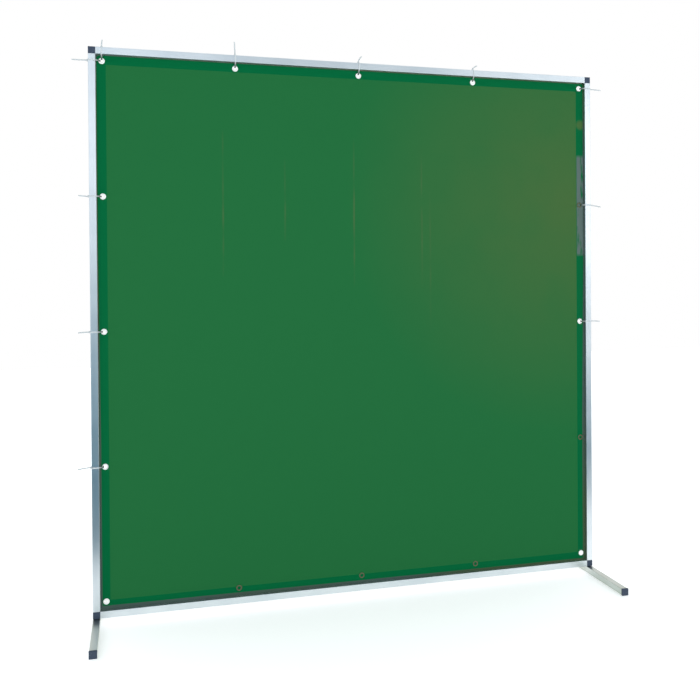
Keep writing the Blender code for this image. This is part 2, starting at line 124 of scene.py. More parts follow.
floor_mesh = bpy.data.meshes.new("floor")
corner = FLOOR_REACH
floor_mesh.from_pydata(
    [(-corner, -corner, 0), (corner, -corner, 0), (corner, corner, 0), (-corner, corner, 0)],
    [],
    [(0, 1, 2, 3)],
)
floor = bpy.data.objects.new("floor", floor_mesh)
scene.collection.objects.link(floor)

floor_paint = bpy.data.materials.new("studio_floor")
floor_paint.use_nodes = True
floor_shader = floor_paint.node_tree.nodes["Principled BSDF"]
floor_shader.inputs["Base Color"].default_value = (FLOOR_SHADE,) * 3 + (1,)
floor_shader.inputs["Roughness"].default_value = 0.9
floor_shader.inputs["Specular IOR Level"].default_value = 0.0
floor_shader.inputs["Emission Color"].default_value = (1, 1, 1, 1)
floor_tree = floor_paint.node_tree
floor_place = floor_tree.nodes.new("ShaderNodeTexCoord")
floor_distance = floor_tree.nodes.new("ShaderNodeVectorMath")
floor_distance.operation = "LENGTH"
far_glow = floor_tree.nodes.new("ShaderNodeMapRange")
far_glow.inputs["From Min"].default_value = GLOW_DISTANCES[0]
far_glow.inputs["From Max"].default_value = GLOW_DISTANCES[1]
far_glow.inputs["To Min"].default_value = GLOW_STRENGTHS[0]
far_glow.inputs["To Max"].default_value = GLOW_STRENGTHS[1]
floor_tree.links.new(floor_place.outputs["Object"], floor_distance.inputs[0])
floor_tree.links.new(floor_distance.outputs["Value"], far_glow.inputs["Value"])
floor_tree.links.new(far_glow.outputs["Result"], floor_shader.inputs["Emission Strength"])
floor_mesh.materials.append(floor_paint)

world = bpy.data.worlds.new("studio_sky")
scene.world = world
world.use_nodes = True
sky = world.node_tree
sky_direction = sky.nodes.new("ShaderNodeTexCoord")
sky_axes = sky.nodes.new("ShaderNodeSeparateXYZ")
sky_ramp = sky.nodes.new("ShaderNodeValToRGB")
sky_ramp.color_ramp.elements[0].position = SKY_TURNS[0]
sky_ramp.color_ramp.elements[0].color = (*SKY_IN_FRONT, 1)
sky_ramp.color_ramp.elements[1].position = SKY_TURNS[1]
sky_ramp.color_ramp.elements[1].color = (1, 1, 1, 1)
sky_shift = sky.nodes.new("ShaderNodeMapRange")
sky_shift.inputs["From Min"].default_value = -1
sky.links.new(sky_direction.outputs["Generated"], sky_axes.inputs[0])
sky.links.new(sky_axes.outputs["Y"], sky_shift.inputs["Value"])
sky.links.new(sky_shift.outputs["Result"], sky_ramp.inputs["Fac"])
sky.links.new(sky_ramp.outputs["Color"], sky.nodes["Background"].inputs["Color"])
sky.nodes["Background"].inputs["Strength"].default_value = 1.0
print("floor:", 2 * FLOOR_REACH, "m square")

# %% [markdown]
# Cards shape what the metal reflects, as in a studio. A dark blue one lies on the floor in
# front, so that the posts darken in one stretch low down and read as metal, and another
# stands where the left post looks. A white card stands for the upper right post and a grey
# one for the upper left. They show only in reflections: the camera and the soft light
# ignore them, and the panels themselves are left out of reflections.


# %% Cards and soft panels
def mirror_card(name, corners, shade, glow=0.0):
    mesh = bpy.data.meshes.new(name)
    mesh.from_pydata(corners, [], [(0, 1, 2, 3)])
    card = bpy.data.objects.new(name, mesh)
    scene.collection.objects.link(card)
    card.visible_camera = card.visible_diffuse = card.visible_shadow = False
    paint = bpy.data.materials.new(name)
    paint.use_nodes = True
    shader = paint.node_tree.nodes["Principled BSDF"]
    shader.inputs["Base Color"].default_value = (*shade, 1)
    shader.inputs["Roughness"].default_value = 1.0
    shader.inputs["Emission Color"].default_value = (*shade, 1)
    shader.inputs["Emission Strength"].default_value = glow
    mesh.materials.append(paint)


def standing(left, right, low, high):
    """Corners of an upright card in front of the screen."""
    return [(left, CARDS_Y, low), (right, CARDS_Y, low), (right, CARDS_Y, high),
            (left, CARDS_Y, high)]


CARD_LIFT = 4 * MM
CARDS_Y = -5.2
mirror_card("floor_card", [(-3.5, -5.5, CARD_LIFT), (4.5, -5.5, CARD_LIFT),
                           (4.5, -1.5, CARD_LIFT), (-3.5, -0.3, CARD_LIFT)],
            (0.02, 0.13, 0.19))
mirror_card("bright_card", standing(2.9, 5.6, 1.2, 3.4), (0.95, 0.98, 1.0), glow=0.75)
mirror_card("left_card", standing(-2.4, -0.3, 1.4, 3.9), (0.60, 0.635, 0.68), glow=0.8)
mirror_card("dark_card", standing(-2.4, -0.3, 0.0, 0.8), (0.01, 0.15, 0.23))


def soft_panel(name, place, power, colour=(1, 1, 1)):
    light = bpy.data.lights.new(name, "AREA")
    light.shape = "RECTANGLE"
    light.size = light.size_y = PANEL_SIDE
    light.energy = power
    light.color = colour
    lamp = bpy.data.objects.new(name, light)
    scene.collection.objects.link(lamp)
    lamp.location = place
    lamp.visible_glossy = False
    lamp.rotation_euler = (Vector(PANELS_AIM) - Vector(place)).to_track_quat("-Z", "Y").to_euler()


PANEL_SIDE = 4.4
PANELS_AIM = (0, 0, 0.75)
WARM_WHITE = (1.0, 0.96, 0.92)
soft_panel("panel_left", (-2.9, -6.4, 1.4), 132)
soft_panel("panel_right", (3.4, -6.4, 1.4), 122, WARM_WHITE)

# %% [markdown]
# ## Finishes
#
# Every finish is a small node tree on one Principled shader. The helper below starts such a
# tree. Patterns read Object coordinates, which are metres here, so a grain of 0.3 mm is
# asked for as a noise of about 3000 cycles per metre.


# %% Node helpers
class Finish:
    """A material, its Principled shader, and short ways to add nodes to it."""

    def __init__(self, name, colour, roughness, metallic=0.0):
        self.material = bpy.data.materials.new(name)
        self.material.use_nodes = True
        self.tree = self.material.node_tree
        self.shader = self.tree.nodes["Principled BSDF"]
        self.shader.inputs["Base Color"].default_value = (*colour, 1)
        self.shader.inputs["Roughness"].default_value = roughness
        self.shader.inputs["Metallic"].default_value = metallic
        self.place = self.tree.nodes.new("ShaderNodeTexCoord").outputs["Object"]

    def link(self, source, target):
        self.tree.links.new(source, target)

    def noise(self, scale, stretch=(1, 1, 1), detail=3.0, offset=(0, 0, 0)):
        """Noise of so many cycles per metre, stretched by dividing an axis's frequency."""
        mapping = self.tree.nodes.new("ShaderNodeMapping")
        mapping.inputs["Scale"].default_value = [1 / s for s in stretch]
        mapping.inputs["Location"].default_value = offset
        self.link(self.place, mapping.inputs["Vector"])
        node = self.tree.nodes.new("ShaderNodeTexNoise")
        node.inputs["Scale"].default_value = scale
        node.inputs["Detail"].default_value = detail
        self.link(mapping.outputs["Vector"], node.inputs["Vector"])
        return node.outputs["Fac"]

    def between(self, value, low, high, start=0.0, end=1.0):
        """Carries value from the range start..end to the range low..high, clamped."""
        node = self.tree.nodes.new("ShaderNodeMapRange")
        node.inputs["From Min"].default_value = start
        node.inputs["From Max"].default_value = end
        node.inputs["To Min"].default_value = low
        node.inputs["To Max"].default_value = high
        self.link(value, node.inputs["Value"])
        return node.outputs["Result"]

    def times(self, a, b):
        node = self.tree.nodes.new("ShaderNodeMath")
        node.operation = "MULTIPLY"
        self.link(a, node.inputs[0])
        self.link(b, node.inputs[1])
        return node.outputs[0]

    def away_from(self, place):
        """Distance from a place, in metres."""
        node = self.tree.nodes.new("ShaderNodeVectorMath")
        node.operation = "DISTANCE"
        node.inputs[1].default_value = place
        self.link(self.place, node.inputs[0])
        return node.outputs["Value"]

    def mixed(self, share, first, second):
        """A colour that goes from first to second as share goes from 0 to 1."""
        node = self.tree.nodes.new("ShaderNodeMix")
        node.data_type = "RGBA"
        self.link(share, node.inputs["Factor"])
        for value, socket in ((first, node.inputs[6]), (second, node.inputs[7])):
            if isinstance(value, tuple):
                socket.default_value = (*value, 1)
            else:
                self.link(value, socket)
        return node.outputs[2]

    def attribute(self, name):
        node = self.tree.nodes.new("ShaderNodeAttribute")
        node.attribute_name = name
        return node.outputs["Fac"]

    def bump(self, height, distance, strength=1.0):
        node = self.tree.nodes.new("ShaderNodeBump")
        node.inputs["Distance"].default_value = distance
        node.inputs["Strength"].default_value = strength
        self.link(height, node.inputs["Height"])
        self.link(node.outputs["Normal"], self.shader.inputs["Normal"])


def repaint(names, finish):
    """Gives each named part of the fixed frame this finish."""
    for name in names:
        for slot in nodes[name].material_slots:
            slot.material = finish.material


# %% [markdown]
# ### Anodised aluminium
#
# Extruded tube keeps faint die lines along its length, under a thin anodised skin that
# blurs reflections. The lines are noise stretched a hundredfold along the tube, so a post,
# a rail and a foot each need their own direction. Broad soft noise adds the slight
# clouding that handling leaves.

# %% Aluminium for each direction
ANODISED = (0.80, 0.84, 0.87)
ANODISED_CLOUD = (0.70, 0.75, 0.79)
# The feet are darker and olive: a painted reflection of the green curtain above them.
FOOT_REFLECTION_TONE = (0.60, 0.64, 0.61)
FOOT_REFLECTION_CLOUD = (0.51, 0.55, 0.50)
LINE_STRETCH = 120
LINE_DEPTH = 0.02 * MM


def anodised(name, along, bright=ANODISED, cloudy=ANODISED_CLOUD):
    finish = Finish(name, bright, 0.34, 1.0)
    stretch = [1, 1, 1]
    stretch["xyz".index(along)] = LINE_STRETCH
    lines = finish.noise(900, stretch, detail=4.0)
    cloud = finish.noise(7, detail=2.0)
    streak = finish.noise(160, stretch, detail=2.0)
    tone = finish.mixed(finish.between(cloud, 0, 1, 0.35, 0.7), bright, cloudy)
    tone = finish.mixed(finish.between(streak, 0, 0.45, 0.45, 0.7), tone, cloudy)
    finish.link(tone, finish.shader.inputs["Base Color"])
    rough = finish.between(lines, 0.24, 0.38)
    finish.link(rough, finish.shader.inputs["Roughness"])
    finish.bump(lines, LINE_DEPTH, 0.4)
    return finish


posts, rails = ["left_post", "right_post"], ["top_rail", "bottom_rail"]
feet = ["left_foot_tube", "right_foot_tube"]
repaint(posts, anodised("anodised_posts", "z"))
repaint(rails, anodised("anodised_rails", "x"))
repaint(feet, anodised("anodised_feet", "y", FOOT_REFLECTION_TONE, FOOT_REFLECTION_CLOUD))
print("tubes finished:", len(posts + rails + feet))

# %% [markdown]
# ### Moulded plastic
#
# The corner joints and foot caps are moulded in dark blue-grey nylon. A spark-eroded mould
# leaves an even fine grain, and corners that are knocked and rubbed turn a little paler.

# %% Joint and cap plastic
NYLON_BLUE = (0.026, 0.042, 0.075)
NYLON_RUBBED = (0.075, 0.095, 0.13)
GRAIN_DEPTH = 0.06 * MM
plastic = Finish("moulded_nylon", NYLON_BLUE, 0.5)
grain = plastic.noise(2600, detail=2.0)
scuffs = plastic.noise(220, detail=5.0)
rubbed = plastic.between(scuffs, 0, 0.5, 0.56, 0.72)
tone = plastic.mixed(rubbed, NYLON_BLUE, NYLON_RUBBED)
plastic.link(tone, plastic.shader.inputs["Base Color"])
plastic.link(plastic.between(grain, 0.42, 0.62), plastic.shader.inputs["Roughness"])
plastic.bump(grain, GRAIN_DEPTH, 0.7)
plastic.shader.inputs["Specular IOR Level"].default_value = 0.4
moulded = [n for n in nodes if n.endswith(("_joint", "_cap"))]
repaint(moulded, plastic)
print("plastic pieces:", len(moulded))

# %% [markdown]
# ### Small metal inside the feet
#
# A zinc-plated screw and washer clamp each foot to the brass insert in its corner joint.
# They show only through the access hole under the foot.

# %% Zinc and brass
zinc = Finish("zinc_plate", (0.62, 0.62, 0.58), 0.35, 1.0)
zinc.link(zinc.between(zinc.noise(500), 0.25, 0.5), zinc.shader.inputs["Roughness"])
brass = Finish("turned_brass", (0.75, 0.56, 0.27), 0.3, 1.0)
brass.link(brass.between(brass.noise(700), 0.22, 0.42), brass.shader.inputs["Roughness"])
repaint([n for n in nodes if n.endswith(("_screw", "_washer"))], zinc)
repaint([n for n in nodes if n.endswith("_insert")], brass)
print("small metal pieces:", sum(n.endswith(("_screw", "_washer", "_insert")) for n in nodes))

# %% [markdown]
# ## Curtain
#
# The curtain is one sheet of soft tinted PVC, cut a little over size, with its edges folded
# back and welded into a double band about 35 mm wide. Two layers look darker than one. The
# sheet is drawn as a grid whose lines crowd together at the band's step and round the
# eyelet holes, and spread out between them. It is then moved out of its plane by the small
# waves that a hung sheet keeps: broad swells, a pucker round each eyelet and the marks of
# its folds from the packet.

# %% Grid lines across the curtain
HEM_WIDTH = 35 * MM
EDGE_REACH = 0.6 * MM
SHEET_THICKNESS = 0.5 * MM
HEM_EXTRA = 0.6 * MM
MIDDLE_STEP = 15 * MM
HOLE_RADIUS = 8.0 * MM
# Eyelets with film inside them: it was never cut out, or it closes round the strap.
UNPUNCHED = ("eyelet_right_2", "eyelet_right_4", "eyelet_bottom_1", "eyelet_bottom_2",
             "eyelet_bottom_3")
FOLD_WIDTH = 2.5 * MM
# Each fold mark: its x, its lowest and its highest z, in metres, and its strength.
FOLDS = (
    (-0.525, 1.25, 1.80, 1.0),
    (-0.292, 1.38, 1.70, 0.8),
    (-0.021, 1.21, 1.78, 1.0),
    (0.257, 1.20, 1.76, 0.8),
    (0.292, 1.02, 1.60, 0.6),
)


def grid_lines(low, high, eyelet_lines, fold_lines=()):
    """Places from low to high, close together at each band, eyelet and fold."""
    lines = {place + FOLD_WIDTH * k for place in fold_lines for k in (-2, -1, 0, 1, 2)}
    for edge, inwards in ((low, 1), (high, -1)):
        near = [0, HEM_WIDTH - 2.5 * MM, HEM_WIDTH - 2 * MM, HEM_WIDTH - 1.5 * MM, HEM_WIDTH]
        near += [HEM_WIDTH + 0.5 * MM, HEM_WIDTH + 6 * MM]
        lines |= {edge + inwards * inset for inset in near}
    for place in eyelet_lines:
        lines |= {place + HOLE_RADIUS * k / 2 for k in range(-3, 4)}
    lines = sorted(lines)
    filled = [lines[0]]
    for line in lines[1:]:
        gap = line - filled[-1]
        count = math.ceil(gap / MIDDLE_STEP)
        filled += [filled[-1] + gap * k / count for k in range(1, count)] + [line]
    return filled


punched = [p for n, p in eyelet_places.items() if n not in UNPUNCHED]
eyelet_columns = {round(p.x, 4) for p in eyelet_places.values()}
eyelet_rows = {round(p.z, 4) for p in eyelet_places.values()}
left_edge, right_edge = curtain_low.x - EDGE_REACH, curtain_high.x + EDGE_REACH
bottom_edge, top_edge = curtain_low.z - EDGE_REACH, curtain_high.z + EDGE_REACH
lines_x = grid_lines(left_edge, right_edge, eyelet_columns, [fold[0] for fold in FOLDS])
lines_z = grid_lines(bottom_edge, top_edge, eyelet_rows)
print("curtain grid:", len(lines_x), "by", len(lines_z))

# %% [markdown]
# The waves are a function of the place on the sheet. Swells come from smooth noise, and
# fade towards the frame, which holds the edge. Each side or top eyelet pulls its
# surroundings into short rays. A fold mark is a narrow ridge, taller in its middle than at
# its ends.

# %% Waves
SWELL_HEIGHT = 3.0 * MM
PUCKER_HEIGHT = 1.1 * MM
PUCKER_REACH = 85 * MM
FOLD_HEIGHT = 0.4 * MM
SWELL_FADE = 0.30
BOTTOM_FADE = 0.20
held_points = [p for n, p in eyelet_places.items() if "bottom" not in n]


def fold_mark(x, z):
    """How strong the fold marks are at a place, from 0 to 1."""
    most = 0.0
    for fold_x, low, high, strength in FOLDS:
        wander = 1.5 * MM * noise.noise((fold_x * 50, 0, z * 6))
        across = math.exp(-(((x - fold_x - wander) / FOLD_WIDTH) ** 2))
        share = (z - low) / (high - low)
        along = math.sin(math.pi * share) ** 0.6 if 0 < share < 1 else 0.0
        broken = 0.6 + 0.8 * noise.noise((fold_x * 30, 2, z * 14))
        most = max(most, min(1.0, across * along * broken * strength))
    return most


def curtain_wave(x, z):
    """How far the sheet stands off its plane at a place; negative is towards the front."""
    inset = min(x - left_edge, right_edge - x, top_edge - z)
    slack = min(1.0, max(0.0, inset / SWELL_FADE)) ** 1.3
    bottom_slack = min(1.0, max(0.0, (z - bottom_edge) / BOTTOM_FADE))
    slack *= 0.35 + 0.65 * bottom_slack
    swell = noise.noise((x * 1.9 + 3.1, z * 0.8, 0.4)) + 0.4 * noise.noise((x * 5.5, z * 2.2, 7.7))
    wave = SWELL_HEIGHT * swell * slack
    for p in held_points:
        dx, dz = x - p.x, z - p.z
        away = math.hypot(dx, dz)
        if away < 3 * PUCKER_REACH:
            rays = math.sin(6 * math.atan2(dz, dx) + 9 * p.x + 4 * p.z)
            rise = min(1.0, away / (18 * MM)) * math.exp(-((away / PUCKER_REACH) ** 1.4))
            wave += PUCKER_HEIGHT * rays * rise
    return wave - FOLD_HEIGHT * fold_mark(x, z)


print(f"wave in the middle: {curtain_wave(0, 1) / MM:.2f} mm")

# %% [markdown]
# The mesh has a front skin and a back skin, joined round the outside and round every eyelet
# hole. Where the hem is folded over, the back skin stands off further, with a rounded step
# and a weld groove just inside it. The outermost strip is a dark strip of painted shade,
# wider low down, where fewer ties draw the edge in behind the tube.

# %% Curtain mesh
WELD_PLACE = 33 * MM
WELD_DEPTH = 0.25 * MM
# Widths of the dark strip of painted shade round the sheet's edge.
SHADE_STRIP_SIDE = 3.0 * MM
SHADE_STRIP_LOW_LEFT = 8.0 * MM
SHADE_STRIP_LOW_RIGHT = 12.0 * MM
SHADE_STRIP_BOTTOM_LEFT = 15.0 * MM
SHADE_STRIP_BOTTOM_RIGHT = 8.0 * MM


def past_shade_strip(x, z):
    """How far a place lies inside the inner edge of the painted shade strip; negative on the
    strip.
    """
    low = min(1.0, max(0.0, (1.35 - z) / 0.7))
    left = SHADE_STRIP_SIDE + (SHADE_STRIP_LOW_LEFT - SHADE_STRIP_SIDE) * low
    right = SHADE_STRIP_SIDE + (SHADE_STRIP_LOW_RIGHT - SHADE_STRIP_SIDE) * low
    across = (x - left_edge) / (right_edge - left_edge)
    bottom = SHADE_STRIP_BOTTOM_LEFT + (SHADE_STRIP_BOTTOM_RIGHT - SHADE_STRIP_BOTTOM_LEFT) * across
    return min(x - left_edge - left, right_edge - x - right,
               z - bottom_edge - bottom, top_edge - z - SHADE_STRIP_SIDE)


def eyelet_square(x, z):
    """The eyelet whose square hole in the grid holds the place, or None, and how far out."""
    for p in punched:
        reach = max(abs(x - p.x), abs(z - p.z))
        if reach < HOLE_RADIUS + 0.1 * MM:
            return p, reach
    return None, 0.0


def rounded_hole(x, z):
    """Moves a place on a square hole's outline onto the round hole's."""
    p, reach = eyelet_square(x, z)
    if p is None or reach < HOLE_RADIUS - 0.1 * MM:
        return x, z
    out = Vector((x - p.x, z - p.z)).normalized() * HOLE_RADIUS
    return p.x + out.x, p.z + out.y


def hem_share(inset):
    """1 on the folded band, 0 on the single sheet."""
    return min(1.0, max(0.0, (HEM_WIDTH + 0.5 * MM - inset) / (0.5 * MM)))


def build_curtain():
    bm = bmesh.new()
    hem = bm.verts.layers.float.new("hem")
    edge = bm.verts.layers.float.new("edge")
    fold = bm.verts.layers.float.new("fold")
    skins = []
    for back in (False, True):
        columns = []
        for x in lines_x:
            column = []
            for z in lines_z:
                inset = min(x - left_edge, right_edge - x, top_edge - z, z - bottom_edge)
                wave = curtain_wave(x, z)
                groove = WELD_DEPTH if abs(inset - WELD_PLACE) < 0.6 * MM else 0.0
                if back:
                    y = wave + SHEET_THICKNESS / 2 + HEM_EXTRA * hem_share(inset) - groove
                else:
                    y = wave - SHEET_THICKNESS / 2 + groove
                round_x, round_z = rounded_hole(x, z)
                vert = bm.verts.new((round_x, y, round_z))
                vert[hem] = hem_share(inset)
                vert[edge] = past_shade_strip(x, z)
                vert[fold] = fold_mark(x, z)
                column.append(vert)
            columns.append(column)
        skins.append(columns)
    return bm, skins


def skin_curtain(bm, skins):
    """Faces on both skins except over the eyelet holes, and walls where they stop."""
    across, up = len(lines_x), len(lines_z)
    kept = set()
    for i in range(across - 1):
        for j in range(up - 1):
            x = (lines_x[i] + lines_x[i + 1]) / 2
            z = (lines_z[j] + lines_z[j + 1]) / 2
            if eyelet_square(x, z)[0] is None:
                kept.add((i, j))
    front, back = skins
    for i, j in kept:
        ring = ((i, j), (i + 1, j), (i + 1, j + 1), (i, j + 1))
        bm.faces.new([front[a][b] for a, b in ring])
        bm.faces.new([back[a][b] for a, b in reversed(ring)])
        walls = (((i, j - 1), 0, 1), ((i + 1, j), 1, 2), ((i, j + 1), 2, 3), ((i - 1, j), 3, 0))
        for beside, a, b in walls:
            if beside not in kept:
                (ai, aj), (bi, bj) = ring[a], ring[b]
                bm.faces.new((front[bi][bj], front[ai][aj], back[ai][aj], back[bi][bj]))
    bmesh.ops.delete(bm, geom=[v for v in bm.verts if not v.link_faces], context="VERTS")


curtain_bm, curtain_skins = build_curtain()
skin_curtain(curtain_bm, curtain_skins)
curtain_mesh = bpy.data.meshes.new("pvc_curtain")
curtain_bm.to_mesh(curtain_mesh)
curtain_bm.free()
curtain_mesh.shade_smooth()
curtain_mesh.set_sharp_from_angle(angle=math.radians(50))
curtain = bpy.data.objects.new("pvc_curtain", curtain_mesh)
scene.collection.objects.link(curtain)
print("curtain faces:", len(curtain_mesh.polygons))

# %% [markdown]
# ### Green PVC
#
# The film is dyed through, so colour is deeper where it is double. Its surface is nearly
# matt, with a very fine calendered texture. Fold marks carry a painted brownish highlight.
# One upper corner carries a painted olive glow, and the hem beside it has an olive spot and
# a painted grey reflection. The outermost edge is a dark strip of painted shade.

# %% Curtain finish
FILM_GREEN = (0.0127, 0.1190, 0.0350)
FILM_OLIVE = (0.0470, 0.1150, 0.0345)
HEM_GREEN = (0.0005, 0.1050, 0.0330)
FOLD_HIGHLIGHT_BROWN = (0.0560, 0.1150, 0.0420)
SHADE_STRIP_GREY = (0.052, 0.082, 0.072)
SHADE_STRIP_BROWN = (0.045, 0.078, 0.040)
REFLECTION_GREY = (0.085, 0.125, 0.115)
FILM_CLOUDED = (0.012, 0.115, 0.035)
GLOW_PATCH_MIDDLE = (0.90, 0, 1.55)
GLOW_PATCH_REACH = 0.95
OLIVE_SPOT_MIDDLE = (0.959, 0, 1.874)
OLIVE_SPOT_REACHES = (0.012, 0.024)
# Where the painted grey reflection sets in, going outwards and upwards, and where it stops at the
# top.
REFLECTION_INNER = (0.940, 0.944)
REFLECTION_LOW = (1.325, 1.34)
REFLECTION_HIGH = (1.735, 1.75)
CALENDER_DEPTH = 0.08 * MM

pvc = Finish("green_pvc_film", FILM_GREEN, 0.38)
# Painted glow: an olive light round one upper corner of the film.
painted_glow = pvc.between(pvc.away_from(GLOW_PATCH_MIDDLE), 1, 0, 0.0, GLOW_PATCH_REACH)
cloud = pvc.noise(5.0, detail=5.0)
film = pvc.mixed(painted_glow, FILM_GREEN, FILM_OLIVE)
film = pvc.mixed(pvc.between(cloud, 0, 0.25, 0.45, 0.75), film, FILM_CLOUDED)
# Painted highlight: the fold marks lighten to brownish.
film = pvc.mixed(pvc.attribute("fold"), film, FOLD_HIGHLIGHT_BROWN)
film = pvc.mixed(pvc.attribute("hem"), film, HEM_GREEN)
axes = pvc.tree.nodes.new("ShaderNodeSeparateXYZ")
pvc.link(pvc.place, axes.inputs[0])
# Painted reflection: a grey stretch on the right hem, placed by position and broken up by noise.
painted_reflection = pvc.times(pvc.between(axes.outputs["X"], 0, 1, *REFLECTION_INNER),
                  pvc.between(axes.outputs["Z"], 0, 1, *REFLECTION_LOW))
painted_reflection = pvc.times(painted_reflection, pvc.between(axes.outputs["Z"], 1, 0, *REFLECTION_HIGH))
painted_reflection = pvc.times(painted_reflection, pvc.between(pvc.noise(45, (1, 1, 4)), 0, 1, 0.33, 0.45))
# An olive spot on the right hem near the top.
olive_spot = pvc.between(pvc.away_from(OLIVE_SPOT_MIDDLE), 1, 0, *OLIVE_SPOT_REACHES)
film = pvc.mixed(olive_spot, film, FILM_OLIVE)
film = pvc.mixed(painted_reflection, film, REFLECTION_GREY)
# Painted shade: the dark strip round the edge, its tint drifting from grey to brown.
shade_strip_tint = pvc.between(pvc.noise(1.1, detail=1.0, offset=(0.4, 0, 0.2)), 0, 1, 0.42, 0.58)
shade_strip = pvc.mixed(shade_strip_tint, SHADE_STRIP_GREY, SHADE_STRIP_BROWN)
on_shade_strip = pvc.between(pvc.attribute("edge"), 1, 0, -0.4 * MM, 0.4 * MM)
film = pvc.mixed(on_shade_strip, film, shade_strip)
pvc.link(film, pvc.shader.inputs["Base Color"])
skin = pvc.noise(420, detail=3.0)
pvc.link(pvc.between(skin, 0.32, 0.46), pvc.shader.inputs["Roughness"])
pvc.bump(skin, CALENDER_DEPTH, 0.5)
pvc.shader.inputs["Specular IOR Level"].default_value = 0.02
curtain_mesh.materials.append(pvc.material)

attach(curtain, "frame")
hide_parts("curtain_sheet")
print("film nodes:", len(pvc.tree.nodes))

# %% [markdown]
# ## Eyelets
#
# Sixteen pressed eyelets are clamped through the hem, five to a side. Each is a turned
# shape: a rolled front flange, a barrel through the hole, and a flatter ring behind. One
# closed outline swept round a circle makes it, and Geometry Nodes puts a copy on each
# place. The outline is drawn as offsets from the middle of the flange.

# %% Eyelet outline
EYELET_BORE = 6.0 * MM
EYELET_FLANGE = 12.0 * MM
EYELET_MIDDLE = (EYELET_BORE + EYELET_FLANGE) / 2
HALF_GRIP = 0.75 * MM
FRONT_CROWN = 2.3 * MM
BACK_CROWN = 1.7 * MM
BACK_INSET = 1.0 * MM
EYELET_WALL = 0.6 * MM


def flange_arc(edge_radius, base, crown, steps):
    """From the outer edge over the rolled crown and down into the bore."""
    half = (edge_radius - EYELET_BORE) / 2
    centre = EYELET_BORE + half
    points = []
    for k in range(steps + 1):
        a = math.pi * k / steps
        lift = max(0.0, math.sin(a)) ** 0.8
        points.append((centre + half * math.cos(a), base + (crown - base) * lift))
    return points


def eyelet_outline():
    front = flange_arc(EYELET_FLANGE, HALF_GRIP, FRONT_CROWN, 12)
    back = flange_arc(EYELET_FLANGE - BACK_INSET, HALF_GRIP, BACK_CROWN, 8)
    wall = EYELET_BORE + EYELET_WALL
    outline = front + [(r, -z) for r, z in reversed(back)]
    outline += [(wall, -HALF_GRIP), (wall, HALF_GRIP)]
    return outline


def poly_curve(name, points, cyclic=False):
    """A curve object through the points, in metres."""
    curve = bpy.data.curves.new(name, "CURVE")
    curve.dimensions = "3D"
    spline = curve.splines.new("POLY")
    spline.points.add(len(points) - 1)
    for point, place in zip(spline.points, points):
        point.co = (*place[:3], 1.0)
        point.radius = place[3] if len(place) > 3 else 1.0
    spline.use_cyclic_u = cyclic
    return bpy.data.objects.new(name, curve)


outline_points = [(r - EYELET_MIDDLE, z, 0) for r, z in eyelet_outline()]
outline = poly_curve("eyelet_outline", outline_points, cyclic=True)
print("outline points:", len(outline_points))

# %% [markdown]
# The helper class starts a Geometry Nodes tree with named inputs. Its `bake` puts the tree
# on an object, sets the inputs by their identifiers, and keeps the result as a plain mesh.


# %% Geometry Nodes helpers
class Tree:
    """A Geometry Nodes tree with named inputs, built and baked from code."""

    def __init__(self, name):
        self.group = bpy.data.node_groups.new(name, "GeometryNodeTree")
        for way in ("INPUT", "OUTPUT"):
            self.group.interface.new_socket("Geometry", in_out=way,
                                            socket_type="NodeSocketGeometry")
        self.source = self.group.nodes.new("NodeGroupInput")
        self.result = self.group.nodes.new("NodeGroupOutput")
        self.identifiers = {}

    def input(self, name, kind, default=None):
        socket = self.group.interface.new_socket(name, in_out="INPUT",
                                                 socket_type="NodeSocket" + kind)
        if default is not None:
            socket.default_value = default
        self.identifiers[name] = socket.identifier
        return self.source.outputs[name]

    def node(self, kind, **links):
        """A node whose sockets, with _ for a space in their names, are linked or set."""
        node = self.group.nodes.new(kind)
        for name, value in links.items():
            socket = node.inputs[name.replace("_", " ")]
            if isinstance(value, bpy.types.NodeSocket):
                self.group.links.new(value, socket)
            else:
                socket.default_value = value
        return node

    def end(self, geometry, material):
        """Realize Instances and Set Material, last in every tree."""
        real = self.node("GeometryNodeRealizeInstances", Geometry=geometry)
        painted = self.node("GeometryNodeSetMaterial", Geometry=real.outputs[0], Material=material)
        self.group.links.new(painted.outputs[0], self.result.inputs[0])

    def bake(self, obj, **values):
        """The tree's mesh for this object and these inputs. The modifier is then removed."""
        scene.collection.objects.link(obj)
        modifier = obj.modifiers.new("tree", "NODES")
        modifier.node_group = self.group
        for name, value in values.items():
            modifier[self.identifiers[name.replace("_", " ")]] = value
        depsgraph = bpy.context.evaluated_depsgraph_get()
        mesh = bpy.data.meshes.new_from_object(obj.evaluated_get(depsgraph))
        obj.modifiers.clear()
        scene.collection.objects.unlink(obj)
        return mesh


def show(name, mesh, body, replaced=()):
    """Puts a finished mesh in the scene as one piece of a body."""
    obj = bpy.data.objects.new(name, mesh)
    scene.collection.objects.link(obj)
    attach(obj, body)
    if replaced:
        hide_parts(*replaced)
    return obj


# %% [markdown]
# In the tree, the outline is swept round a circle as wide as the middle of the flange. A
# copy then goes on every vertex of a mesh that is only points, turned so that the rolled
# flange faces the front.

